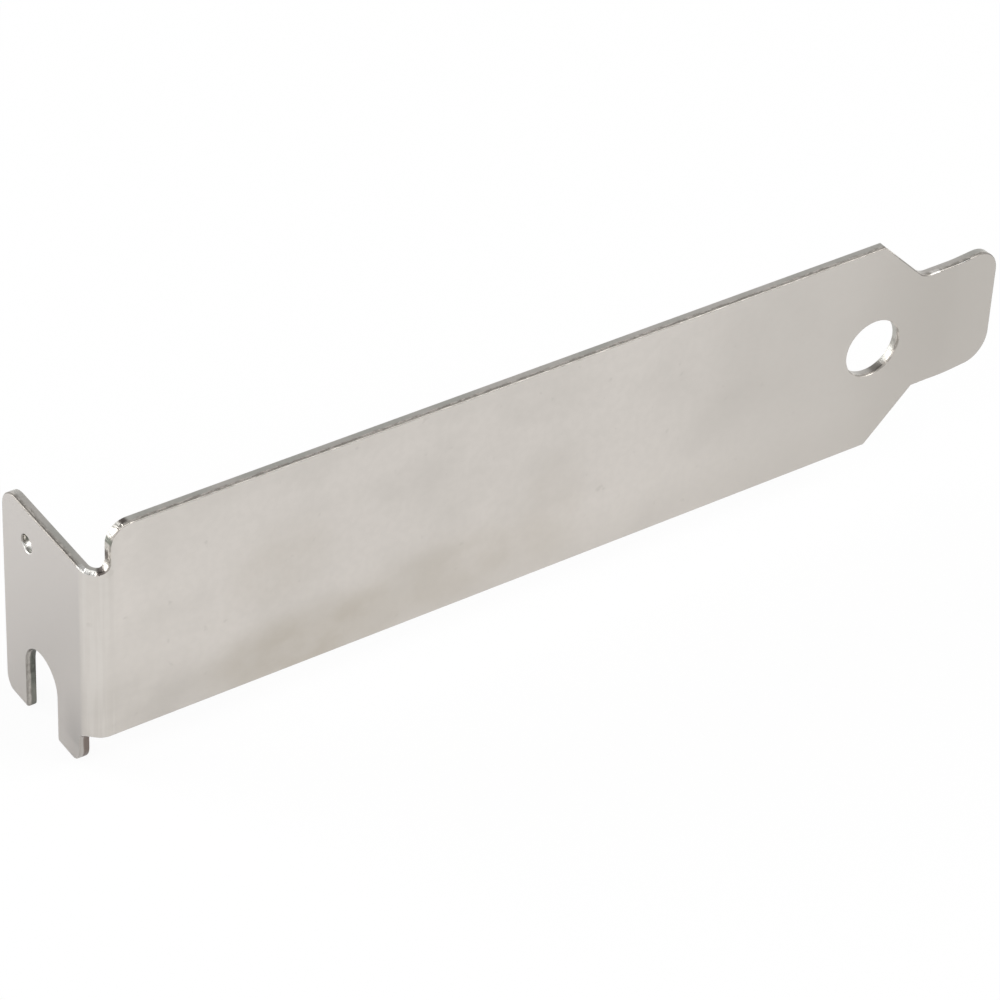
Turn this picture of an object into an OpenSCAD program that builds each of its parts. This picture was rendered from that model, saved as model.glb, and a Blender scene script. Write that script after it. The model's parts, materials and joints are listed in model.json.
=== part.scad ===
// Low-profile expansion slot cover: one strip of plated sheet steel, folded once.
// Its origin is on the axis of the screw notch's round end, at the tab's outer face:
// X runs along the strip to the tongue, Y the way the tab is folded, Z across the width.

/* [Strip] */
// Thickness of the sheet
sheet_t = 0.8; // [0.6:0.05:1.1]
// Width of the strip
strip_w = 18.42; // [17:0.01:20]
// Length from the outside of the screw tab to the tip of the tongue
strip_len = 79.5; // [70:0.1:125]

/* [Tongue] */
// Width of the tongue
tongue_w = 10.19; // [9:0.01:11]
// Length of the tongue past the sloped shoulders
tongue_len = 7.55; // [6:0.05:9]
// Radius of the two tongue corners
tongue_corner_r = 2.2; // [1:0.1:3.5]
// Length of the tongue's end that is set back
tongue_set_len = 4.4; // [3:0.1:5.5]
// Angle by which the tongue's end is set back
tongue_set_angle = 5; // [0:0.5:8]

/* [Round hole] */
// Diameter of the round hole
hole_d = 4.9; // [3.2:0.05:6]
// Distance of the hole's centre from the sloped shoulders' inner end
hole_back = 4.3; // [3.8:0.05:8]

/* [Fold] */
// Inside radius of the fold
fold_inner_r = 0.75; // [0.4:0.05:1.2]

/* [Screw tab] */
// Depth of the tab, from the strip's outer face
tab_depth = 12.45; // [11.5:0.05:14]
// How far the tab's outer foot reaches past the strip's lower edge
outer_foot_drop = 3.8; // [2.5:0.05:4.2]
// How far the foot beside the fold reaches past the strip's lower edge
inner_foot_drop = 3.6; // [2.5:0.05:4.2]
// Radius of the tab's upper outer corner
tab_corner_r = 1.8; // [0.5:0.1:2.5]
// Radius of the outer foot's outer corner
foot_outer_r = 1.4; // [0.5:0.1:1.6]
// Radius of the outer foot's corner at the notch
foot_notch_r = 0.3; // [0.2:0.1:0.9]
// Radius of the inner foot's corner beside the fold
foot_inner_r = 1.6; // [0.4:0.1:1.8]
// Radius of the corner between the inner foot and the strip's lower edge
foot_relief_r = 1.1; // [0.3:0.1:1.3]

/* [Screw notch] */
// Width of the notch
notch_w = 4.5; // [4:0.05:4.8]
// Distance of the notch's centre line from the strip's outer face
notch_centre = 7.24; // [6.8:0.01:7.6]
// Height of the notch's round end above the strip's lower edge
notch_end = 2.85; // [2.4:0.05:5]

/* [Pin hole] */
// Diameter of the small hole
pin_hole_d = 1.4; // [1:0.05:2]
// Distance of the small hole's centre from the tab's free edge
pin_hole_in = 3.55; // [2.8:0.05:4.5]
// Distance of the small hole's centre below the tab's upper edge
pin_hole_down = 3; // [2.2:0.1:4]

/* [Neck] */
// How far the tab's upper edge is stepped down from the strip's upper edge
neck_step = 3.65; // [3:0.05:5]
// Radius of the strip's corner above the step
neck_outer_r = 1.7; // [0.5:0.1:2.2]
// Radius at the foot of the step
neck_inner_r = 0.8; // [0.3:0.05:0.9]

/* [Hidden] */
$fn = 64;
fold_r = fold_inner_r + sheet_t;
tab_top = strip_w - neck_step;
shoulder_x = strip_len - tongue_len;
shoulder_drop = (strip_w - tongue_w) / 2;
slope_x = shoulder_x - shoulder_drop;
set_x = strip_len - tongue_set_len;
hole_x = shoulder_x - hole_back;
foot_start = fold_r + 0.25;
neck_x = fold_r + 0.12;
tab_drop = max(outer_foot_drop, inner_foot_drop);
notch_r = notch_w / 2;
past = 1;
steel = [0.80, 0.79, 0.77];

// What lies outside a round corner of radius r whose sharp corner is at the origin,
// the metal being on the side that sx and sy point to.
module corner_waste(r, sx, sy) {
    mirror([sx < 0 ? 1 : 0, 0])
        mirror([0, sy < 0 ? 1 : 0])
            difference() {
                translate([-past, -past])
                    square([past + r, past + r]);
                translate([r, r])
                    circle(r);
            }
}

// The fold seen along Z, from the fold's outer corner.
module fold_profile() {
    translate([fold_r, 0])
        square([set_x - fold_r, sheet_t]);
    translate([0, fold_r])
        square([sheet_t, tab_depth - fold_r]);
    intersection() {
        translate([fold_r, fold_r])
            difference() {
                circle(fold_r);
                circle(fold_inner_r);
            }
        square([fold_r, fold_r]);
    }
    translate([set_x, 0])
        rotate(tongue_set_angle)
            square([tongue_set_len + past, sheet_t]);
}

// The strip seen from its outer face.
module strip_outline() {
    difference() {
        polygon([
            [0, -tab_drop], [fold_r, -tab_drop], [fold_r, 0],
            [slope_x, 0], [shoulder_x, shoulder_drop],
            [strip_len, shoulder_drop], [strip_len, strip_w - shoulder_drop],
            [shoulder_x, strip_w - shoulder_drop], [slope_x, strip_w],
            [0, strip_w]
        ]);
        translate([strip_len, shoulder_drop])
            corner_waste(tongue_corner_r, -1, 1);
        translate([strip_len, strip_w - shoulder_drop])
            corner_waste(tongue_corner_r, -1, -1);
        translate([hole_x, strip_w / 2])
            circle(hole_d / 2);
        neck_waste();
    }
}

// The step above the fold, with its two round corners.
module neck_waste() {
    translate([-past, tab_top + neck_inner_r])
        square([past + neck_x, neck_step]);
    translate([-past, tab_top])
        square([past + neck_x - neck_inner_r, neck_step]);
    translate([neck_x - neck_inner_r, tab_top + neck_inner_r])
        circle(neck_inner_r);
    translate([neck_x, strip_w])
        corner_waste(neck_outer_r, 1, -1);
}

// The recess between the inner foot and the strip's lower edge.
module foot_recess() {
    difference() {
        translate([-past, -tab_drop - past])
            square([foot_start + past, tab_drop + past]);
        translate([foot_start, 0])
            corner_waste(foot_relief_r, -1, -1);
    }
}

// What is cut from the tab, seen from its outer face.
module tab_waste() {
    foot_recess();
    translate([-past, -tab_drop - past])
        square([past + notch_centre, past + tab_drop - inner_foot_drop]);
    translate([foot_start, -inner_foot_drop])
        corner_waste(foot_inner_r, 1, 1);
    translate([notch_centre, -tab_drop - past])
        square([tab_depth + past - notch_centre, past + tab_drop - outer_foot_drop]);
    translate([notch_centre + notch_r, -outer_foot_drop])
        corner_waste(foot_notch_r, 1, 1);
    translate([tab_depth, -outer_foot_drop])
        corner_waste(foot_outer_r, -1, 1);
    translate([tab_depth, tab_top])
        corner_waste(tab_corner_r, -1, -1);
    translate([notch_centre, notch_end - notch_r])
        circle(notch_r);
    translate([notch_centre - notch_r, -tab_drop - past])
        square([notch_w, tab_drop + past + notch_end - notch_r]);
    translate([tab_depth - pin_hole_in, tab_top - pin_hole_down])
        circle(pin_hole_d / 2);
}

// The folded strip, cut to the outline of its face.
module folded_strip() {
    intersection() {
        translate([0, 0, -tab_drop])
            linear_extrude(tab_drop + strip_w)
                fold_profile();
        translate([0, tab_depth + past, 0])
            rotate([90, 0, 0])
                linear_extrude(tab_depth + 2 * past)
                    strip_outline();
    }
}

module slot_cover() {
    color(steel)
        translate([0, -notch_centre, notch_r - notch_end])
            difference() {
                folded_strip();
                translate([-past, 0, 0])
                    rotate([90, 0, 90])
                        linear_extrude(past + fold_r)
                            tab_waste();
            }
}

slot_cover();
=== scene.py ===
"""A low-profile expansion slot cover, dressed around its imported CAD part.

The sheet is made flat, as its blank leaves the press: outline, holes and rolled edges.
Then it is bent at the tongue and at the fold, so that the grain of the plate and the
bands of the cut edge run round the fold with the metal.
The sheet is worked in millimetres and brought to metres at the end.
"""

import json
import math

import bmesh
import bpy
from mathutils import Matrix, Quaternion, Vector


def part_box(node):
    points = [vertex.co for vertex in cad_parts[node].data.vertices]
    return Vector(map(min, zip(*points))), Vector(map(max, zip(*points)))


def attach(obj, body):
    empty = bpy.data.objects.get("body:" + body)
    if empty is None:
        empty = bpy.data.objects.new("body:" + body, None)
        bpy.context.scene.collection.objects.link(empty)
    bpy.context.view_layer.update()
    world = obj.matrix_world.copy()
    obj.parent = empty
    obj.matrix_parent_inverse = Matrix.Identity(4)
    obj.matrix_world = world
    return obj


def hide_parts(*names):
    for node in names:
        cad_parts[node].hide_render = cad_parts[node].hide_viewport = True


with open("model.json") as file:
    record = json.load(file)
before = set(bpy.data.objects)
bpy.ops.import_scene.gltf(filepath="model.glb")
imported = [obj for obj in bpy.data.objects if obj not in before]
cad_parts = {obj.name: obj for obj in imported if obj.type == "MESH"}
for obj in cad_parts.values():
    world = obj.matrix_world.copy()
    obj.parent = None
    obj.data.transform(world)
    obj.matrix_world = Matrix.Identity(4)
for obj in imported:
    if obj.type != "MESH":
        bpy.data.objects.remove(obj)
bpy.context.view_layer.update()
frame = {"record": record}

# ---------------------------------------------------------------- sizes, in millimetres

MM = 0.001
MOUNTS = {mount["name"]: mount for mount in frame["record"]["mounts"]}
LOW, HIGH = (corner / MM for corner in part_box("slot_cover"))


def mount_place(name):
    """Where a mount of the record is, in millimetres."""
    return Vector(MOUNTS[name]["pos_m"]) / MM


def mount_radius(name):
    """The radius of a round mount of the record, in millimetres."""
    return MOUNTS[name]["dims"]["r_mm"]


# The three openings, from the record
NOTCH = mount_place("screw_notch")
NOTCH_RADIUS = mount_radius("screw_notch")
ROUND_HOLE = mount_place("round_hole")
ROUND_HOLE_RADIUS = mount_radius("round_hole")
SMALL_HOLE = mount_place("locating_hole")
SMALL_HOLE_RADIUS = mount_radius("locating_hole")

# The sheet
SHEET = mount_place("tab_seat").x - LOW.x
OUTER_FACE = LOW.y
SHEET_MIDDLE = OUTER_FACE + SHEET / 2
INNER_FACE = OUTER_FACE + SHEET

# How deep a punching tool is, and how far it reaches past the blank's edge
TOOL_DEPTH = 3 * SHEET
TOOL_PAST = 1

# The strip and the two feet below it
OUTER_FOOT_DROP = 3.8
INNER_FOOT_DROP = 3.6
STRIP_BOTTOM = LOW.z + OUTER_FOOT_DROP
STRIP_TOP = HIGH.z
STRIP_WIDTH = STRIP_TOP - STRIP_BOTTOM
STRIP_MIDDLE = (STRIP_TOP + STRIP_BOTTOM) / 2
INNER_FOOT_END = STRIP_BOTTOM - INNER_FOOT_DROP

# The tongue
TONGUE_WIDTH = 10.19
TONGUE_LENGTH = 7.55
TONGUE_CORNER = 2.2
TONGUE_ROOT = 0.5
TONGUE_BOTTOM = STRIP_MIDDLE - TONGUE_WIDTH / 2
TONGUE_TOP = STRIP_MIDDLE + TONGUE_WIDTH / 2
SHOULDER_END = HIGH.x - TONGUE_LENGTH
SHOULDER_START = SHOULDER_END - (STRIP_WIDTH - TONGUE_WIDTH) / 2

# The slight bend that sets the tongue's end back
TONGUE_SET_LENGTH = 4.4
TONGUE_SET_ANGLE = math.radians(5)
TONGUE_CUTS = 8
TONGUE_BEND_LENGTH = 1.2
TONGUE_BEND_START = HIGH.x - TONGUE_SET_LENGTH - TONGUE_BEND_LENGTH / 2
TONGUE_BEND_END = TONGUE_BEND_START + TONGUE_BEND_LENGTH
TONGUE_BEND_RADIUS = TONGUE_BEND_LENGTH / TONGUE_SET_ANGLE + SHEET / 2
TONGUE_BEND_REACH = TONGUE_BEND_RADIUS * math.sin(TONGUE_SET_ANGLE)
TONGUE_END_REACH = HIGH.x - TONGUE_BEND_START - TONGUE_BEND_REACH
TONGUE_TIP = TONGUE_BEND_END + TONGUE_END_REACH / math.cos(TONGUE_SET_ANGLE)

# The fold, and where it starts and ends on the flat blank
FOLD_INNER = 0.75
FOLD_OUTER = FOLD_INNER + SHEET
FOLD_NEUTRAL = FOLD_INNER + SHEET / 2
FOLD_ANGLE = math.radians(90)
FOLD_CUTS = 24
FOLD_LENGTH = FOLD_NEUTRAL * FOLD_ANGLE
FOLD_END = FOLD_OUTER
FOLD_START = FOLD_END - FOLD_LENGTH


def flat_x(y):
    """Where a point of the folded tab at y lies along the blank before the fold."""
    return FOLD_START - (y - OUTER_FACE - FOLD_OUTER)


# The tab, the feet and the neck, on the flat blank
NECK_STEP = 3.65
NECK_FROM_FOLD = 0.12
NECK_OUTER_CORNER = 1.7
NECK_INNER_CORNER = 0.72
NECK_SIDE = FOLD_END + NECK_FROM_FOLD
TAB_CORNER = 1.8
TAB_EDGE = flat_x(HIGH.y)
TAB_TOP = STRIP_TOP - NECK_STEP
NOTCH_MIDDLE = flat_x(NOTCH.y)
FOOT_FROM_FOLD = 0.25
FOOT_OUTER_CORNER = 1.4
FOOT_NOTCH_CORNER = 0.3
FOOT_INNER_CORNER = 1.6
FOOT_RELIEF_CORNER = 1.25
FOOT_INNER_SIDE = flat_x(OUTER_FACE + FOLD_OUTER + FOOT_FROM_FOLD)

# The edges: a shear rolls the side that it enters and leaves a fine burr at the other,
# the feet's narrow tips are rounded over both sides, and the fold draws its edge in
OUTER_ROLL = 0.12
OUTER_ROLL_SEGMENTS = 4
INNER_ROLL = 0.04
INNER_ROLL_SEGMENTS = 2
TIP_ROUND = 0.42
TIP_LEVELS = (0.15, 0.35, 0.65, 1)
TIP_OUTER_SHARE = 0.8
TIP_INNER_SHARE = 0.6
FOLD_SINK = 0.3
FOLD_SINK_CUTS = 18
FOLD_SHELF = FOLD_SINK + OUTER_ROLL

# How many sides round shapes have
CORNER_SEGMENTS = 20
SMALL_CORNER_SEGMENTS = 8
NOTCH_SIDES = 96
ROUND_HOLE_SIDES = 128
SMALL_HOLE_SIDES = 64

# How close two lengths are when they count as the same, and how far round an edge its
# own points and faces may lie
SAME = 1e-3
SAME_LEVEL = 2e-4
MERGED = 1e-4
EDGE_REACH = 0.1

# How squarely a face looks along an axis when it is picked by it, how squarely the
# plated sides do, and how sharply a cut edge turns, in radians
FACING = 0.9
FACING_FLAT = 0.97
SHARP_TURN = 1

# How far the punched edge reaches from the notch outward, and past the inner foot
PUNCHED_OUTWARD = 2
PUNCHED_INWARD = 0.3

# How faces are smoothed: up to which turn, and how strongly large faces lead
SMOOTH_TURN = math.radians(40)
LARGE_FACE_WEIGHT = 60

# What a shader reads of the flat blank, and the three finishes' places in its list
FLAT_PLACE = "flat_place"
PLATED = 0
SHEARED = 1
PUNCHED = 2


# ---------------------------------------------------------------- hand tools


def deselect():
    """Leaves edit mode and lets go of every object."""
    if bpy.context.object and bpy.context.object.mode != "OBJECT":
        bpy.ops.object.mode_set(mode="OBJECT")
    bpy.ops.object.select_all(action="DESELECT")


def take(piece):
    """Selects one piece alone and makes it the active one."""
    deselect()
    bpy.context.view_layer.objects.active = piece
    piece.select_set(True)


def edit(piece, kind):
    """Opens a piece for editing by its faces, edges or vertices."""
    take(piece)
    bpy.ops.object.mode_set(mode="EDIT")
    bpy.ops.mesh.select_mode(type=kind)


def nothing_picked(kind):
    """The opened piece's mesh with nothing selected, to be picked from by one kind."""
    bpy.ops.mesh.select_mode(type=kind)
    bpy.ops.mesh.select_all(action="DESELECT")
    return bmesh.from_edit_mesh(bpy.context.edit_object.data)


def pick_faces(test):
    """Selects the faces whose centre and direction pass a test."""
    sheet = nothing_picked("FACE")
    for face in sheet.faces:
        face.select_set(test(face.calc_center_median(), face.normal))
    bmesh.update_edit_mesh(bpy.context.edit_object.data)


def pick_points(test):
    """Selects the points whose place passes a test."""
    sheet = nothing_picked("VERT")
    for vert in sheet.verts:
        vert.select_set(test(vert.co))
    sheet.select_flush_mode()
    bmesh.update_edit_mesh(bpy.context.edit_object.data)


def pick_edges(test):
    """Selects the edges whose two ends and turn between faces pass a test."""
    sheet = nothing_picked("EDGE")
    for edge in sheet.edges:
        first, second = (vert.co for vert in edge.verts)
        edge.select_set(test(first, second, edge.calc_face_angle(0)))
    bmesh.update_edit_mesh(bpy.context.edit_object.data)


def near(a, b, reach=SAME):
    """True where two lengths are the same within a reach."""
    return abs(a - b) < reach


def extrude(move):
    """Draws the selected faces out along a straight line."""
    bpy.ops.mesh.extrude_region_move(TRANSFORM_OT_translate={"value": move})


def round_edges(radius, segments):
    """Rounds the selected edges."""
    bpy.ops.mesh.bevel(
        offset_type="OFFSET",
        offset=radius,
        segments=segments,
        profile=0.5,
        affect="EDGES",
        loop_slide=False,
        clamp_overlap=False,
    )


def round_corner(x, z, radius, segments=CORNER_SEGMENTS):
    """Rounds the blank's corner at x, z, through the sheet."""
    pick_edges(
        lambda a, b, turn: all(near(end.x, x) and near(end.z, z) for end in (a, b))
    )
    round_edges(radius, segments)


def cut_across(x):
    """Cuts a line through the whole blank across its length."""
    bpy.ops.mesh.select_all(action="SELECT")
    bpy.ops.mesh.bisect(plane_co=(x, 0, 0), plane_no=(1, 0, 0))


def cut_evenly(start, length, count):
    """Cuts a stretch of the blank into even strips, and gives where the cuts are."""
    places = [start + length * step / count for step in range(count + 1)]
    for place in places:
        cut_across(place)
    return places


def merge_flat(angle):
    """Merges the opened piece's double points, and faces that turn less than an angle."""
    bpy.ops.mesh.select_all(action="SELECT")
    bpy.ops.mesh.remove_doubles(threshold=MERGED)
    bpy.ops.mesh.dissolve_limited(angle_limit=math.radians(angle))


def apply_modifier(piece, kind, **settings):
    """Adds a modifier to a piece with its settings and applies it."""
    take(piece)
    modifier = piece.modifiers.new(kind.lower(), kind)
    for name, value in settings.items():
        setattr(modifier, name, value)
    bpy.context.view_layer.update()
    bpy.ops.object.modifier_apply(modifier=modifier.name)


def punch(blank, tool):
    """Takes a tool's shape out of the blank, and puts the tool away."""
    apply_modifier(
        blank, "BOOLEAN", object=tool, operation="DIFFERENCE", solver="EXACT"
    )
    bpy.data.objects.remove(tool)


def block(low_x, high_x, low_z, high_z, thickness):
    """A block round the sheet's middle, of a thickness."""
    deselect()
    bpy.ops.mesh.primitive_cube_add(
        size=1,
        location=((low_x + high_x) / 2, SHEET_MIDDLE, (low_z + high_z) / 2),
        scale=(high_x - low_x, thickness, high_z - low_z),
    )
    bpy.ops.object.transform_apply(location=True, rotation=True, scale=True)
    return bpy.context.object


def round_punch(x, z, radius, sides):
    """A round punch through the sheet."""
    deselect()
    bpy.ops.mesh.primitive_cylinder_add(
        vertices=sides,
        radius=radius,
        depth=TOOL_DEPTH,
        location=(x, SHEET_MIDDLE, z),
        rotation=(math.radians(90), 0, 0),
    )
    bpy.ops.object.transform_apply(location=True, rotation=True, scale=True)
    return bpy.context.object


# ---------------------------------------------------------------- the sheet


def shear_blank():
    """The blank's outline: tab on the left, strip, sloped shoulders and tongue."""
    blank = block(TAB_EDGE, SHOULDER_START, STRIP_BOTTOM, TAB_TOP, SHEET)
    blank.name = blank.data.name = "folded_cover"
    edit(blank, "FACE")
    for x in (NOTCH_MIDDLE, FOOT_INNER_SIDE, NECK_SIDE):
        cut_across(x)

    pick_faces(lambda at, way: way.z > FACING and at.x > NECK_SIDE)
    extrude((0, 0, NECK_STEP))
    pick_faces(lambda at, way: way.z < -FACING and at.x < FOOT_INNER_SIDE)
    extrude((0, 0, -INNER_FOOT_DROP))
    pick_faces(lambda at, way: way.z < -FACING and at.x < NOTCH_MIDDLE)
    extrude((0, 0, INNER_FOOT_DROP - OUTER_FOOT_DROP))

    pick_faces(lambda at, way: way.x > FACING and near(at.x, SHOULDER_START))
    extrude((SHOULDER_END - SHOULDER_START, 0, 0))
    bpy.ops.transform.resize(
        value=(1, 1, TONGUE_WIDTH / STRIP_WIDTH),
        center_override=(SHOULDER_END, 0, STRIP_MIDDLE),
    )
    extrude((TONGUE_TIP - SHOULDER_END, 0, 0))

    merge_flat(angle=0.5)
    bpy.ops.mesh.normals_make_consistent(inside=False)
    return blank


def round_outline(blank):
    """The outline's round corners."""
    edit(blank, "EDGE")
    round_corner(TONGUE_TIP, TONGUE_BOTTOM, TONGUE_CORNER)
    round_corner(TONGUE_TIP, TONGUE_TOP, TONGUE_CORNER)
    round_corner(SHOULDER_END, TONGUE_TOP, TONGUE_ROOT, SMALL_CORNER_SEGMENTS)
    round_corner(NECK_SIDE, STRIP_TOP, NECK_OUTER_CORNER)
    round_corner(NECK_SIDE, TAB_TOP, NECK_INNER_CORNER)
    round_corner(TAB_EDGE, TAB_TOP, TAB_CORNER)
    round_corner(TAB_EDGE, LOW.z, FOOT_OUTER_CORNER)
    round_corner(FOOT_INNER_SIDE, INNER_FOOT_END, FOOT_INNER_CORNER)
    round_corner(FOOT_INNER_SIDE, STRIP_BOTTOM, FOOT_RELIEF_CORNER)


def punch_holes(blank):
    """The screw notch, the round hole and the small hole."""
    low_side = NOTCH_MIDDLE - NOTCH_RADIUS
    high_side = NOTCH_MIDDLE + NOTCH_RADIUS
    for tool in (
        round_punch(NOTCH_MIDDLE, NOTCH.z, NOTCH_RADIUS, NOTCH_SIDES),
        block(low_side, high_side, LOW.z - TOOL_PAST, NOTCH.z, TOOL_DEPTH),
        round_punch(ROUND_HOLE.x, ROUND_HOLE.z, ROUND_HOLE_RADIUS, ROUND_HOLE_SIDES),
        round_punch(
            flat_x(SMALL_HOLE.y), SMALL_HOLE.z, SMALL_HOLE_RADIUS, SMALL_HOLE_SIDES
        ),
    ):
        punch(blank, tool)
    edit(blank, "EDGE")
    merge_flat(angle=0.1)
    round_corner(low_side, LOW.z, FOOT_NOTCH_CORNER, SMALL_CORNER_SEGMENTS)


def roll_edges(blank):
    """The shear's rolled edge on the outer side, and the fine burr on the inner."""
    edit(blank, "EDGE")
    for side, radius, segments in (
        (OUTER_FACE, OUTER_ROLL, OUTER_ROLL_SEGMENTS),
        (INNER_FACE, INNER_ROLL, INNER_ROLL_SEGMENTS),
    ):
        pick_edges(
            lambda a, b, turn: near(a.y, side) and near(b.y, side) and turn > SHARP_TURN
        )
        round_edges(radius, segments)


def draw_in_fold(blank):
    """Sinks the outer side of the top edge where the fold is going to stretch it."""
    edit(blank, "EDGE")
    places = cut_evenly(FOLD_START, FOLD_LENGTH, FOLD_CUTS)
    bpy.ops.mesh.select_all(action="SELECT")
    bpy.ops.mesh.bisect(plane_co=(0, OUTER_FACE + FOLD_SHELF, 0), plane_no=(0, 1, 0))
    rolled = OUTER_FACE + OUTER_ROLL + SAME
    for step, x in enumerate(places):
        swell = math.sin(min(step / FOLD_SINK_CUTS, 1) * math.pi) ** 2
        sink = FOLD_SINK * min(2 * swell, 1)
        pick_points(
            lambda at: near(at.x, x) and at.z > TAB_TOP - EDGE_REACH and at.y < rolled
        )
        bpy.ops.transform.translate(value=(0, 0, -sink))


def round_tip(low, start, end):
    """Rounds a foot's narrow tip over both its sides, between two places."""
    for share in TIP_LEVELS:
        bpy.ops.mesh.select_all(action="SELECT")
        bpy.ops.mesh.bisect(plane_co=(0, 0, low + share * TIP_ROUND), plane_no=(0, 0, 1))
    sheet = bmesh.from_edit_mesh(bpy.context.edit_object.data)
    levels = {
        round(vert.co.z, 4)
        for vert in sheet.verts
        if start < vert.co.x < end and vert.co.z < low + TIP_ROUND
    }
    for level in sorted(levels):
        left = TIP_ROUND - max(level - low, 0)
        back = TIP_ROUND - math.sqrt(TIP_ROUND**2 - left**2)
        for side, share in ((1, TIP_INNER_SHARE), (-1, TIP_OUTER_SHARE)):
            pick_points(
                lambda at: start < at.x < end
                and (at.y - SHEET_MIDDLE) * side > 0
                and near(at.z, level, SAME_LEVEL)
            )
            bpy.ops.transform.translate(value=(0, -side * back * share, 0))


def is_punched(at):
    """True in the small hole, the notch and on the feet, where a punch cut the sheet."""
    from_hole = math.hypot(at.x - flat_x(SMALL_HOLE.y), at.z - SMALL_HOLE.z)
    if from_hole < SMALL_HOLE_RADIUS + EDGE_REACH:
        return True
    outward = NOTCH_MIDDLE - NOTCH_RADIUS - PUNCHED_OUTWARD
    inward = FOOT_INNER_SIDE + PUNCHED_INWARD
    return at.z < NOTCH.z + NOTCH_RADIUS + EDGE_REACH and outward < at.x < inward


def mark_flat_places(blank):
    """Keeps where each point was on the flat blank, and how each face was cut."""
    deselect()
    sheet = blank.data
    for finish in (plated_steel(), sheared_edge(), punched_edge()):
        sheet.materials.append(finish)
    flat = sheet.attributes.new(FLAT_PLACE, "FLOAT_VECTOR", "POINT")
    for vert in sheet.vertices:
        flat.data[vert.index].vector = vert.co - Vector((0, OUTER_FACE, 0))
    for face in sheet.polygons:
        if abs(face.normal.y) > FACING_FLAT:
            face.material_index = PLATED
        else:
            face.material_index = PUNCHED if is_punched(face.center) else SHEARED


def bend(blank, at_x, start, end, angle):
    """Bends the sheet between two places of its length, round a line across it."""
    low = min(vert.co.x for vert in blank.data.vertices)
    high = max(vert.co.x for vert in blank.data.vertices)
    line = bpy.data.objects.new("bend_line", None)
    line.location = (at_x, SHEET_MIDDLE, 0)
    bpy.context.scene.collection.objects.link(line)
    apply_modifier(
        blank,
        "SIMPLE_DEFORM",
        deform_method="BEND",
        deform_axis="Z",
        origin=line,
        angle=angle,
        limits=[(place - low) / (high - low) for place in (start, end)],
    )
    bpy.data.objects.remove(line)


def fold_sheet(blank):
    """The tongue's slight set and the tab's square fold."""
    edit(blank, "FACE")
    cut_evenly(TONGUE_BEND_START, TONGUE_BEND_LENGTH, TONGUE_CUTS)
    mark_flat_places(blank)
    bend(blank, TONGUE_BEND_START, TONGUE_BEND_START, TONGUE_BEND_END, TONGUE_SET_ANGLE)
    bend(blank, FOLD_END, FOLD_START, FOLD_END, FOLD_ANGLE)


def make_cover():
    """The whole folded cover, in metres."""
    cover = shear_blank()
    round_outline(cover)
    punch_holes(cover)
    roll_edges(cover)
    draw_in_fold(cover)
    round_tip(LOW.z, TAB_EDGE - EDGE_REACH, NOTCH_MIDDLE)
    round_tip(INNER_FOOT_END, NOTCH_MIDDLE, FOOT_INNER_SIDE + EDGE_REACH)
    fold_sheet(cover)
    take(cover)
    cover.scale = (MM, MM, MM)
    bpy.ops.object.transform_apply(location=True, rotation=True, scale=True)
    bpy.ops.object.shade_smooth_by_angle(angle=SMOOTH_TURN)
    apply_modifier(cover, "WEIGHTED_NORMAL", keep_sharp=True, weight=LARGE_FACE_WEIGHT)
    return cover


# ---------------------------------------------------------------- shader tools


class Value:
    """A shader socket that takes Python's signs; each adds one Math node."""

    def __init__(self, finish, socket):
        self.finish = finish
        self.socket = socket

    def reckon(self, operation, first, second):
        """Adds a Math node on two values or numbers."""
        return self.finish.value(
            "ShaderNodeMath", {"operation": operation}, {0: first, 1: second}
        )

    def __add__(self, other):
        return self.reckon("ADD", self, other)

    def __radd__(self, other):
        return self.reckon("ADD", other, self)

    def __sub__(self, other):
        return self.reckon("SUBTRACT", self, other)

    def __rsub__(self, other):
        return self.reckon("SUBTRACT", other, self)

    def __mul__(self, other):
        return self.reckon("MULTIPLY", self, other)

    def __rmul__(self, other):
        return self.reckon("MULTIPLY", other, self)


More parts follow.
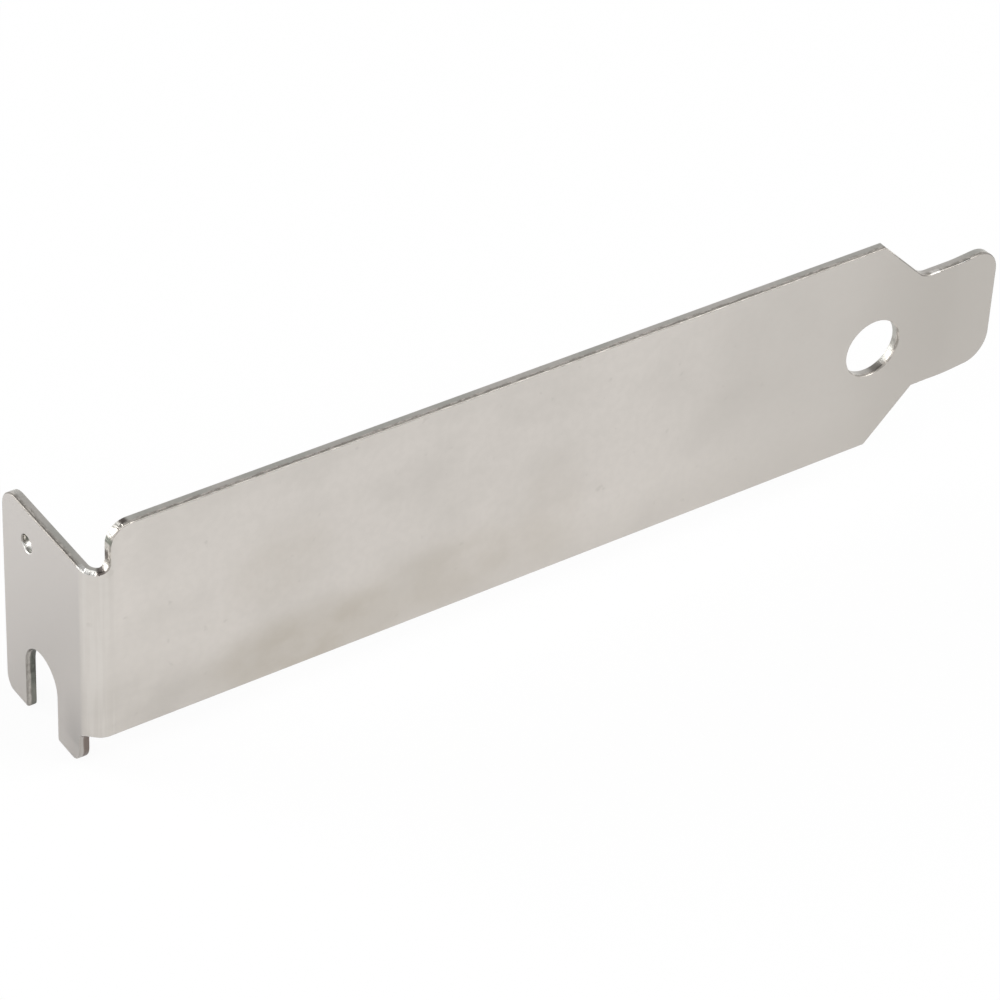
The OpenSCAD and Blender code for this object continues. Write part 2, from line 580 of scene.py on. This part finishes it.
class Finish:
    """A shader's nodes, of a material or of the room, and the one way to make them."""

    def __init__(self, owner):
        self.owner = owner
        owner.use_nodes = True
        self.tree = owner.node_tree
        self.tree.nodes.clear()

    def node(self, kind, settings=None, inputs=None):
        """Adds a node: its settings first, then the values or links of its sockets."""
        made = self.tree.nodes.new(kind)
        for name, value in (settings or {}).items():
            if name == "stops":
                ramp = made.color_ramp
                while len(ramp.elements) < len(value):
                    ramp.elements.new(1)
                for element, (place, shade) in zip(ramp.elements, value):
                    element.position = place
                    element.color = shade
            else:
                setattr(made, name, value)
        for name, value in (inputs or {}).items():
            if isinstance(value, Value):
                self.tree.links.new(value.socket, made.inputs[name])
            else:
                made.inputs[name].default_value = value
        return made

    def value(self, kind, settings=None, inputs=None, output=0):
        """Adds a node and gives one of its outputs."""
        made = self.node(kind, settings, inputs)
        return Value(self, made.outputs[output])

    def parts(self, place):
        """The three numbers of a place."""
        split = self.node("ShaderNodeSeparateXYZ", {}, {"Vector": place})
        return [Value(self, socket) for socket in split.outputs]

    def vector(self, operation, first, second=(0, 0, 0), output=0):
        """Adds a Vector Math node on two places."""
        settings = {"operation": operation}
        return self.value("ShaderNodeVectorMath", settings, {0: first, 1: second}, output)

    def noise(self, place, scale, detail=3.0, stretch=(1, 1, 1)):
        """Soft noise between 0 and 1, on a place that is stretched along its axes."""
        stretched = self.vector("MULTIPLY", place, stretch)
        return self.value(
            "ShaderNodeTexNoise",
            {},
            {"Vector": stretched, "Scale": scale, "Detail": detail, "Roughness": 0.5},
        )

    def between(self, value, low, high, to_low=0.0, to_high=1.0):
        """A value brought smoothly from one range to another, and held there."""
        return self.value(
            "ShaderNodeMapRange",
            {"interpolation_type": "SMOOTHSTEP"},
            {
                "Value": value,
                "From Min": low,
                "From Max": high,
                "To Min": to_low,
                "To Max": to_high,
            },
        )

    def span(self, value, start, full, fade, end):
        """1 from full to fade, passing smoothly to 0 at start and at end."""
        return self.between(value, start, full) * (1 - self.between(value, fade, end))

    def mixed(self, mask, first, second):
        """One colour passing into another by a mask."""
        return self.value(
            "ShaderNodeMix",
            {"data_type": "RGBA"},
            {0: mask, 6: first, 7: second},
            output=2,
        )

    def metal(self, colour, roughness, height, depth):
        """A metal surface with a fine relief, put on the material's output."""
        bump = self.value(
            "ShaderNodeBump", {}, {"Height": height, "Distance": depth, "Strength": 1.0}
        )
        shader = self.value(
            "ShaderNodeBsdfPrincipled",
            {},
            {
                "Base Color": colour,
                "Roughness": roughness,
                "Metallic": 1.0,
                "Normal": bump,
            },
        )
        self.node("ShaderNodeOutputMaterial", {}, {"Surface": shader})
        return self.owner


def flat_place(finish):
    """Where a point was on the flat blank, in millimetres: along, through, across."""
    return finish.value(
        "ShaderNodeAttribute", {"attribute_name": FLAT_PLACE}, output="Vector"
    )


# ---------------------------------------------------------------- finishes

PLATE = (0.671, 0.635, 0.596, 1)
PLATE_WARM = (0.485, 0.445, 0.385, 1)
PLATE_DULL_AND_SHADE = (0.566, 0.537, 0.5, 1)
PLATE_TAB_SHADE = (0.585, 0.553, 0.523, 1)
PLATE_FOOT_SHADE = (0.41, 0.388, 0.37, 1)
PLATE_FAR = (0.51, 0.482, 0.446, 1)
PLATE_LINE = (0.74, 0.715, 0.68, 1)
SHEARED_PALE = (0.69, 0.645, 0.592, 1)
SHEARED_STREAK = (0.43, 0.402, 0.365, 1)
SHEARED_TORN = (0.615, 0.588, 0.552, 1)
SHEARED_GREENISH = (0.53, 0.522, 0.484, 1)
SHEARED_DARK = (0.275, 0.256, 0.234, 1)
SHEARED_DASH = (0.25, 0.245, 0.235, 1)
SHEARED_HIGHLIGHT = (0.80, 0.79, 0.76, 1)
SHEARED_GLINT = (0.97, 0.945, 0.91, 1)
NECK_BROWN_SHADE = (0.12, 0.1, 0.09, 1)
NECK_GREENISH_SHADE = (0.15, 0.165, 0.135, 1)
PUNCHED_BROWN = (0.44, 0.41, 0.375, 1)
PUNCHED_PALE = (0.56, 0.53, 0.49, 1)
PUNCHED_DARK_SHADE = (0.13, 0.135, 0.12, 1)
PUNCHED_GREENISH_SHADE = (0.20, 0.21, 0.185, 1)
PUNCHED_LINE = (0.17, 0.16, 0.15, 1)
PUNCHED_SOFT = (0.34, 0.335, 0.3, 1)
FOOT_RIM = (0.43, 0.405, 0.38, 1)
FOOT_BROWN_SHADE = (0.2, 0.165, 0.145, 1)

# How deep each finish's relief is, in metres
PLATE_RELIEF = 0.000003
SHEARED_RELIEF = 0.00003
PUNCHED_RELIEF = 0.00002

# Stains on the strip's outer face: place and size along and across, strength, shade
STAINS = (
    ((15.5, 9.5), (4.5, 4), 0.22, PLATE_WARM),
    ((17.5, 1.3), (8.5, 3.4), 0.72, PLATE_WARM),
    ((29.5, 2.6), (9, 3.4), 0.42, PLATE_WARM),
    ((38.5, 4.2), (3, 6), 0.2, PLATE_WARM),
    ((3.5, 0.6), (6.5, 4.6), 0.6, PLATE_FAR),
    ((55, 12.5), (3, 6), 0.18, PLATE_FAR),
)

# Where greyer dashes break the rolled line: start and end along the strip, and share
DASH_GROUPS = (
    (14, 22, 0.15),
    (31, 42, 0.15),
    (50, 58, 0.15),
    (SHOULDER_END + 2.4, SHOULDER_END + 5.2, 1),
)

# Patches of painted shade on the neck's edge, standing for dark reflections: place along
# and across, size, strength, shade, and whether only the half of the edge by the inner
# face has it
NECK_SHADE_PATCHES = (
    ((2.95, STRIP_TOP), 0.34, 0.9, NECK_BROWN_SHADE, True),
    ((1.75, STRIP_TOP - 1.2), 0.28, 0.8, NECK_GREENISH_SHADE, False),
    ((NECK_SIDE, TAB_TOP + 1.2), 0.45, 0.85, NECK_BROWN_SHADE, True),
    ((1.15, TAB_TOP), 0.36, 0.9, NECK_BROWN_SHADE, False),
)

# Dark streaks of painted shade in the round hole: how far round in degrees, size and
# strength
HOLE_SHADE_STREAKS = ((-70, 0.6, 0.85), (-14, 0.5, 0.5))


def smudge(finish, place, centre, size):
    """A soft round smudge at a place along and across the strip."""
    moved = finish.vector("SUBTRACT", place, (centre[0], 0, centre[1]))
    shrunk = finish.vector("MULTIPLY", moved, (1 / size[0], 0, 1 / size[1]))
    reach = finish.vector("LENGTH", shrunk, output="Value")
    return 1 - finish.between(reach, 0.35, 1.3)


def plated_steel():
    """Satin plate over rolled sheet: faint clouds, stains, a fine grain, die lines, and
    painted shade on the tab, foot, crest and low edge.
    """
    finish = Finish(bpy.data.materials.new("plated_steel"))
    place = flat_place(finish)
    along, through, across = finish.parts(place)
    cloud = finish.noise(place, 0.12, detail=4.0, stretch=(1, 1, 1.2))
    stain = finish.noise(place, 0.3, detail=4.0, stretch=(1, 1, 1.2))
    grain = finish.noise(place, 2.0, detail=4.0, stretch=(0.5, 1, 6))
    speckle = finish.noise(place, 1.5, detail=3.0)
    pits = finish.noise(place, 0.9, detail=2.0)
    die_lines = finish.noise(place, 3.2, detail=2.0, stretch=(1, 0, 0.03))

    # Where the tab, the fold's crest, the strip's low and far parts and the foot are; all
    # but the far parts take painted shade
    tab = 1 - finish.between(along, FOLD_START - 0.1, FOLD_START + 0.25)
    crest = (1 - tab) * (1 - finish.between(along, FOLD_END, FOLD_END + 1))
    low = 1 - finish.between(across, STRIP_BOTTOM, STRIP_BOTTOM + 5)
    low = low * finish.between(along, 3, 16, 0.35, 1)
    far = finish.between(along, 44, 62)
    farthest = finish.between(along, SHOULDER_END - 10, SHOULDER_END + 3)
    foot = tab * finish.between(along, FOLD_START - 3.2, FOLD_START - 0.6)
    foot = foot * (1 - finish.between(across, -4.5, 4))
    foot = foot * finish.between(across, -2.7, -2, 0.45, 1)

    clouds = finish.between(cloud, 0.4, 0.7, 0, 0.45)
    speckles = finish.between(speckle, 0.35, 0.65, 0, 0.16)
    colour = finish.mixed(clouds, PLATE, PLATE_DULL_AND_SHADE)
    colour = finish.mixed(speckles, colour, PLATE_DULL_AND_SHADE)
    colour = finish.mixed(finish.between(pits, 0.66, 0.76, 0, 0.4), colour, PLATE_FAR)
    colour = finish.mixed(far * 0.7, colour, PLATE_DULL_AND_SHADE)
    colour = finish.mixed(farthest, colour, PLATE_FAR)
    # Painted shade: the fold's crest a little darker
    colour = finish.mixed(crest * 0.4, colour, PLATE_DULL_AND_SHADE)
    # Painted shade: the strip's outer face darker towards its bottom edge
    colour = finish.mixed(low * 0.4, colour, PLATE_FAR)
    uneven = finish.between(stain, 0.34, 0.64, 0.55, 1)
    outer = (1 - tab) * (1 - finish.between(through, 0.1, SHEET / 2))
    for centre, size, strength, shade in STAINS:
        mask = smudge(finish, place, centre, size) * uneven * strength
        colour = finish.mixed(mask * outer, colour, shade)
    # Painted shade: the whole tab a little darker
    colour = finish.mixed(tab, colour, PLATE_TAB_SHADE)
    # Painted shade: the inner foot darker still
    colour = finish.mixed(foot, colour, PLATE_FOOT_SHADE)
    lines = crest * finish.between(die_lines, 0.45, 0.6)
    colour = finish.mixed(lines * 0.16, colour, PLATE_LINE)
    roughness = 0.27 + grain * 0.06 + cloud * 0.05
    return finish.metal(colour, roughness, grain + lines * 0.18, PLATE_RELIEF)


def rolled_band(finish, depth):
    """The band of a cut edge that the shear rolled over, strongest at the face."""
    band = 1 - finish.between(depth, OUTER_ROLL, OUTER_ROLL + 0.06)
    return band * finish.between(depth, 0.03, 0.09, 1, 0.75)


def band_strength(finish, place):
    """How strongly the rolled band shows from place to place."""
    broken = finish.noise(place, 1.1, stretch=(1, 0, 1))
    return finish.between(broken, 0.38, 0.6, 0.82, 1)


def dashes_along(finish, place, along):
    """Where greyer dashes break the rolled band."""
    groups = sum(
        finish.span(along, start, start + 1, end - 1, end) * share
        for start, end, share in DASH_GROUPS
    )
    dash = finish.noise(place, 3.0, stretch=(1, 0.2, 1))
    return groups * finish.between(dash, 0.46, 0.54)


def cracked_glint_over_fold(finish, place, along, depth):
    """Where the edge that the fold stretched shows a painted glint, broken by cracks."""
    stretched = finish.span(
        along, FOLD_START - 0.4, FOLD_START, FOLD_END - 0.9, FOLD_END - 0.5
    )
    shelf = 1 - finish.between(depth, FOLD_SHELF, FOLD_SHELF + 0.06)
    cracks = finish.noise(place, 5.0, detail=1.0, stretch=(1, 0, 0))
    return shelf * stretched * finish.between(cracks, 0.36, 0.46)


def sheared_edge():
    """The plated cut edge: rolled, then mottled with streaks, then torn and dull, with
    painted glints and painted shade.
    """
    finish = Finish(bpy.data.materials.new("sheared_edge"))
    place = flat_place(finish)
    along, depth, across = finish.parts(place)
    waver = finish.noise(place, 0.9, detail=4.0, stretch=(1, 0, 1))
    strokes = finish.noise(place, 4.0, detail=4.0, stretch=(1, 0.15, 1))
    blotch = finish.noise(place, 2.2, detail=4.0, stretch=(0.8, 1.4, 0.8))
    drift = finish.noise(place, 0.16, detail=2.0)
    chatter = finish.noise(place, 2.4, detail=2.0, stretch=(1, 0.25, 1))
    torn = finish.between(depth + waver * 0.4, SHEET * 0.5, SHEET * 0.8)
    streaks = finish.between(blotch, 0.42, 0.56)
    smooth = finish.mixed(streaks, SHEARED_PALE, SHEARED_STREAK)
    tints = finish.between(drift, 0.42, 0.6)
    dull = finish.mixed(tints, SHEARED_TORN, SHEARED_GREENISH)
    colour = finish.mixed(torn, smooth, dull)

    # The rolled line, fainter in the round hole and at the neck, and its dashes
    hole_middle = (ROUND_HOLE.x, SHEET / 2, ROUND_HOLE.z)
    from_hole = finish.vector("DISTANCE", place, hole_middle, output="Value")
    outside = finish.between(from_hole, ROUND_HOLE_RADIUS + 0.5, 4, 0.2, 1)
    neck = finish.span(
        along, FOLD_END - 0.8, FOLD_END - 0.2, NECK_SIDE + 1.6, NECK_SIDE + 2.2
    )
    neck = neck * finish.between(across, TAB_TOP - EDGE_REACH, TAB_TOP + EDGE_REACH)
    band = rolled_band(finish, depth)
    dashes = dashes_along(finish, place, along)
    line = band * (1 - dashes) * band_strength(finish, place)
    colour = finish.mixed(line * outside * (1 - neck * 0.7), colour, SHEARED_DARK)
    colour = finish.mixed(band * dashes * outside, colour, SHEARED_DASH)

    # The fold's painted glint, the neck's painted shade, a painted glint on the tongue,
    # the hole's painted streaks
    painted_highlight = cracked_glint_over_fold(finish, place, along, depth)
    colour = finish.mixed(painted_highlight, colour, SHEARED_HIGHLIGHT)
    inner_half = finish.between(depth, 0.2, 0.4)
    for centre, size, strength, shade, only_inner in NECK_SHADE_PATCHES:
        mask = smudge(finish, place, centre, (size, size)) * strength
        if only_inner:
            mask = mask * inner_half
        colour = finish.mixed(mask, colour, shade)
    # A painted glint on the tongue's edge
    root = SHOULDER_END
    glint = finish.span(along, root + 0.5, root + 0.8, root + 1.6, root + 2)
    glint = glint * finish.between(strokes, 0.4, 0.5) * (1 - torn)
    colour = finish.mixed(glint * 0.8, colour, SHEARED_GLINT)
    for degrees, size, strength in HOLE_SHADE_STREAKS:
        turn = math.radians(degrees)
        centre = (
            ROUND_HOLE.x + ROUND_HOLE_RADIUS * math.cos(turn),
            ROUND_HOLE.z + ROUND_HOLE_RADIUS * math.sin(turn),
        )
        mask = smudge(finish, place, centre, (size, size)) * strength
        colour = finish.mixed(mask, colour, SHEARED_DARK)

    roughness = 0.18 + torn * 0.2 + strokes * 0.12 + line * 0.25
    height = blotch * 0.8 + strokes * (0.6 + torn * 0.6)
    height = height * (1 - line * 0.8) + chatter * neck * 5
    return finish.metal(colour, roughness, height, SHEARED_RELIEF)


def punched_edge():
    """The punched edge, darkened with painted shade: a brownish rim, then dark and
    greenish.
    """
    finish = Finish(bpy.data.materials.new("punched_edge"))
    place = flat_place(finish)
    along, depth, across = finish.parts(place)
    waver = finish.noise(place, 0.8, stretch=(1, 0, 1))
    blotch = finish.noise(place, 2.2, detail=4.0, stretch=(0.8, 1.6, 0.8))
    deep = finish.between(depth + waver * 0.2, SHEET * 0.45, SHEET * 0.62)
    patches = finish.between(blotch, 0.42, 0.6)
    foot = finish.between(along, FOOT_INNER_SIDE - 1.4, FOOT_INNER_SIDE - 1)
    tip = 1 - finish.between(across, LOW.z + 1, LOW.z + 3)
    # Painted shade: the punched walls darker than the other cut edges, in the rim and
    # more so deeper in
    rim = finish.mixed(patches, PUNCHED_BROWN, PUNCHED_PALE)
    rim = finish.mixed(foot, rim, FOOT_RIM)
    dark = finish.mixed(patches, PUNCHED_DARK_SHADE, PUNCHED_GREENISH_SHADE)
    dark = finish.mixed(tip * 0.6, dark, PUNCHED_SOFT)
    dark = finish.mixed(foot, dark, FOOT_BROWN_SHADE)
    colour = finish.mixed(deep, rim, dark)
    line = rolled_band(finish, depth) * band_strength(finish, place)
    colour = finish.mixed(line * (0.5 - foot * 0.4), colour, PUNCHED_LINE)

    # The small hole's lower part, lighter with a painted highlight
    hole = SMALL_HOLE.z
    painted_highlight = finish.span(across, hole - 1, hole - 0.9, hole - 0.4, hole - 0.2)
    colour = finish.mixed(painted_highlight, colour, SHEARED_HIGHLIGHT)
    roughness = 0.22 + deep * 0.12 + painted_highlight * 0.12
    return finish.metal(colour, roughness, blotch, PUNCHED_RELIEF)


# ---------------------------------------------------------------- floor, light and camera

# Places and lengths from here on are in metres
CENTRE = (LOW + HIGH) / 2 * MM
FLOOR = LOW.z * MM
FLOOR_SIZE = 6
FLOOR_COLOUR = (0.88, 0.88, 0.88, 1)
FLOOR_WHITE = 0.93
FLOOR_WHITE_IN_METAL = 0.2

# The room's greys from the horizon up, and the dark gap's middle and borders
ROOM_STOPS = (
    (0.0, (0.85, 0.86, 0.87, 1)),
    (0.6, (0.58, 0.58, 0.58, 1)),
    (1.0, (0.5, 0.5, 0.5, 1)),
)
ROOM_GAP = (0.1, 0.1, 0.1, 1)
GAP_TOWARD = (-0.1, 0.64, 0.77)
GAP_START = math.radians(8)
GAP_END = math.radians(22)

# Each lamp: name, direction from the cover, distance, width, height, watts
LAMPS = (
    ("back_left_softbox", (-0.62, 0.62, 0.34), 0.7, 0.35, 0.45, 2.2),
    ("front_left_softbox", (-0.53, -0.35, 0.76), 0.8, 0.3, 0.3, 1.0),
    ("front_right_softbox", (0.5, -0.55, 0.67), 1.0, 0.5, 0.5, 5.0),
)

# The camera: how it is turned, how far back, left and down it stands, its lens in mm
CAMERA_AZIMUTH = math.radians(35.53)
CAMERA_ELEVATION = math.radians(38.15)
CAMERA_ROLL = math.radians(3.12)
CAMERA_BACK = 0.32876
CAMERA_LEFT = 0.001431
CAMERA_DOWN = 0.0045
CAMERA_LENS = 160.25
CAMERA_SENSOR = 36


def pale_floor():
    """A white floor that keeps the cover's shadow."""
    deselect()
    bpy.ops.mesh.primitive_plane_add(
        size=FLOOR_SIZE, location=(CENTRE.x, CENTRE.y, FLOOR)
    )
    floor = bpy.context.object
    floor.name = "floor"
    finish = Finish(bpy.data.materials.new("floor"))
    path = finish.node("ShaderNodeLightPath")
    camera_ray, glossy_ray, clear_ray = (
        Value(finish, path.outputs[ray])
        for ray in ("Is Camera Ray", "Is Glossy Ray", "Is Transmission Ray")
    )
    matt = finish.value("ShaderNodeBsdfDiffuse", {}, {"Color": FLOOR_COLOUR})
    white = finish.value(
        "ShaderNodeEmission", {}, {"Color": (1, 1, 1, 1), "Strength": 1.0}
    )
    share = camera_ray * FLOOR_WHITE + (glossy_ray + clear_ray) * FLOOR_WHITE_IN_METAL
    both = finish.value("ShaderNodeMixShader", {}, {0: share, 1: matt, 2: white})
    finish.node("ShaderNodeOutputMaterial", {}, {"Surface": both})
    floor.data.materials.append(finish.owner)


def studio_room():
    """The room: pale low down, greyer overhead, with a dark gap up behind the cover."""
    world = bpy.data.worlds.new("studio_room")
    bpy.context.scene.world = world
    room = Finish(world)
    way = room.value("ShaderNodeTexCoord", output="Generated")
    height = room.parts(way)[2]
    wall = room.value("ShaderNodeValToRGB", {"stops": ROOM_STOPS}, {0: height})
    gap_middle = Vector(GAP_TOWARD).normalized()
    toward_gap = room.vector("DOT_PRODUCT", way, gap_middle, output="Value")
    in_gap = room.between(toward_gap, math.cos(GAP_END), math.cos(GAP_START))
    light = room.mixed(in_gap, wall, ROOM_GAP)
    background = room.value("ShaderNodeBackground", {}, {"Color": light})
    room.node("ShaderNodeOutputWorld", {}, {"Surface": background})


def lamp(name, toward, distance, width, height, watts):
    """A soft lamp out along a direction, turned to the cover."""
    light = bpy.data.lights.new(name, "AREA")
    light.shape = "RECTANGLE"
    light.size = width
    light.size_y = height
    light.energy = watts
    piece = bpy.data.objects.new(name, light)
    bpy.context.scene.collection.objects.link(piece)
    toward = Vector(toward).normalized()
    piece.location = CENTRE + toward * distance
    piece.rotation_mode = "QUATERNION"
    piece.rotation_quaternion = (-toward).to_track_quat("-Z", "Y")
    piece.visible_camera = False


def camera():
    """The camera: a long lens from the front left and above, with a slight roll."""
    ahead = Vector(
        (
            math.sin(CAMERA_AZIMUTH) * math.cos(CAMERA_ELEVATION),
            math.cos(CAMERA_AZIMUTH) * math.cos(CAMERA_ELEVATION),
            -math.sin(CAMERA_ELEVATION),
        )
    )
    turn = Quaternion(ahead, -CAMERA_ROLL) @ ahead.to_track_quat("-Z", "Y")
    right = turn @ Vector((1, 0, 0))
    up = turn @ Vector((0, 1, 0))
    lens = bpy.data.cameras.new("camera")
    lens.sensor_width = CAMERA_SENSOR
    lens.lens = CAMERA_LENS
    lens.clip_start = 0.01
    lens.clip_end = 20
    piece = bpy.data.objects.new("camera", lens)
    bpy.context.scene.collection.objects.link(piece)
    piece.rotation_mode = "QUATERNION"
    piece.rotation_quaternion = turn
    piece.location = (
        CENTRE - ahead * CAMERA_BACK - right * CAMERA_LEFT - up * CAMERA_DOWN
    )
    bpy.context.scene.camera = piece


# ---------------------------------------------------------------- all together

cover = make_cover()
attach(cover, "root")
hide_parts("slot_cover")

pale_floor()
studio_room()
for each in LAMPS:
    lamp(*each)
camera()
bpy.context.scene.view_settings.view_transform = "Standard"
